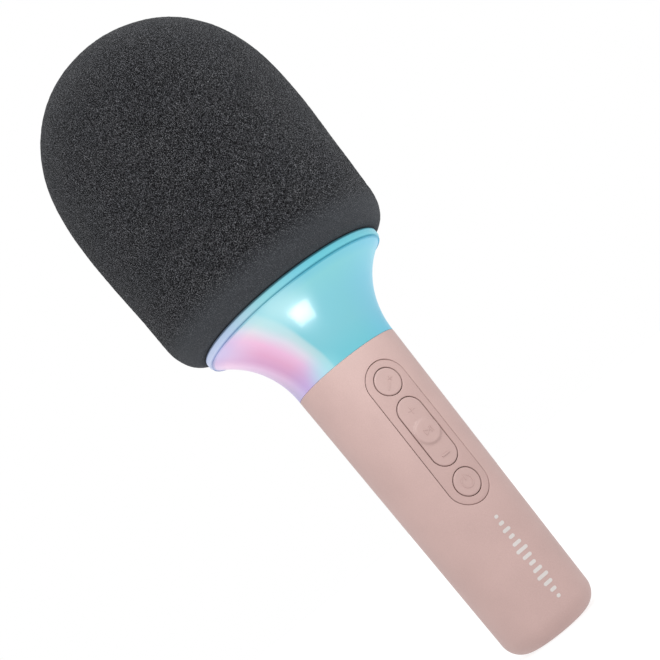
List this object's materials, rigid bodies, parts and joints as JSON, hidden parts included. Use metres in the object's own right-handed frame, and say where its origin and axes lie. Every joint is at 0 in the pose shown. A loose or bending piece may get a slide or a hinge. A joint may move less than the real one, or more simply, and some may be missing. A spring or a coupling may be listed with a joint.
{
  "type": "toy microphone",
  "caption": "Hand-held toy karaoke microphone: pull-off foam windscreen on a grille basket, glossy flared light neck, tapered handle with a button panel.",
  "frame": {"origin": "centre of the handle's flat bottom, on the microphone's axis", "axes": "+Z along the microphone's axis towards the head; the buttons face -Y; +X to the right of someone who looks at the buttons"},
  "size_m": [0.0898, 0.0898, 0.245],
  "materials": {
    "windscreen_foam": "matte",
    "handle_plastic": "satin",
    "button_plastic": "satin",
    "cone_plastic": "gloss",
    "white_plastic": "satin",
    "grey_plastic": "satin",
    "black_plastic": "satin",
    "circuit_board": "satin",
    "white_board": "satin",
    "led_lens": "gloss",
    "screw_steel": "satin",
    "socket_steel": "satin",
    "speaker_steel": "satin",
    "speaker_paper": "matte",
    "magnet_ceramic": "satin",
    "can_aluminium": "satin",
    "cell_sleeve": "satin",
    "black_foam": "matte",
    "boot_rubber": "matte",
    "red_wire": "satin",
    "black_wire": "satin"
  },
  "bodies": {
    "handle": {"handle_tube": "handle_plastic", "control_panel": "handle_plastic", "effect_switch": "black_plastic", "volume_up_switch": "black_plastic", "play_switch": "black_plastic", "volume_down_switch": "black_plastic", "power_switch": "black_plastic", "main_board": "circuit_board", "board_screw_1": "screw_steel", "board_screw_2": "screw_steel", "bluetooth_chip": "black_plastic", "amplifier_chip": "black_plastic", "filter_capacitor": "can_aluminium", "inner_frame": "grey_plastic", "battery_cell": "cell_sleeve", "battery_pad": "black_foam", "battery_lead": "red_wire", "usb_socket": "socket_steel", "light_cone": "cone_plastic", "rim_ring": "cone_plastic", "cone_reflector": "white_plastic", "led_board": "white_board", "led_lead": "red_wire", "speaker_plate": "grey_plastic", "speaker_gasket": "black_foam", "speaker_frame": "speaker_steel", "speaker_cone": "speaker_paper", "speaker_magnet": "magnet_ceramic", "speaker_lead": "red_wire", "grille_basket": "black_plastic", "capsule_boot": "boot_rubber", "mic_capsule": "can_aluminium", "capsule_lead": "black_wire", "led_1": "led_lens", "led_2": "led_lens", "led_3": "led_lens", "led_4": "led_lens", "led_5": "led_lens", "led_6": "led_lens", "neck_screw_1": "screw_steel", "neck_screw_2": "screw_steel", "neck_screw_3": "screw_steel", "speaker_screw_1": "screw_steel", "speaker_screw_2": "screw_steel", "speaker_screw_3": "screw_steel", "speaker_screw_4": "screw_steel"},
    "windscreen": {"foam_windscreen": "windscreen_foam"},
    "effect_key": {"effect_button": "button_plastic", "effect_plunger": "white_plastic"},
    "play_key": {"rocker_pivot": "white_plastic", "play_plunger": "white_plastic"},
    "volume_key": {"volume_rocker": "button_plastic"},
    "power_key": {"power_button": "button_plastic", "power_plunger": "white_plastic"}
  },
  "joints": [
    {"name": "windscreen_pull", "type": "slide", "parent": "handle", "child": "windscreen", "axis": [0, 0, 1], "range_m": [0, 0.1]},
    {"name": "effect_press", "type": "slide", "parent": "handle", "child": "effect_key", "axis": [0, 1, 0], "range_m": [0, 0.0008], "stiffness_N_per_m": 1500},
    {"name": "play_press", "type": "slide", "parent": "handle", "child": "play_key", "axis": [0, 1, 0], "range_m": [0, 0.0004], "stiffness_N_per_m": 3000},
    {"name": "volume_tilt", "type": "hinge", "parent": "play_key", "child": "volume_key", "pos_m": [0, -0.0145, 0.0734], "axis": [1, 0, 0], "range_deg": [-2.5, 2.5], "stiffness_Nm_per_rad": 0.3},
    {"name": "power_press", "type": "slide", "parent": "handle", "child": "power_key", "axis": [0, 1, 0], "range_m": [0, 0.0008], "stiffness_N_per_m": 1500}
  ]
}
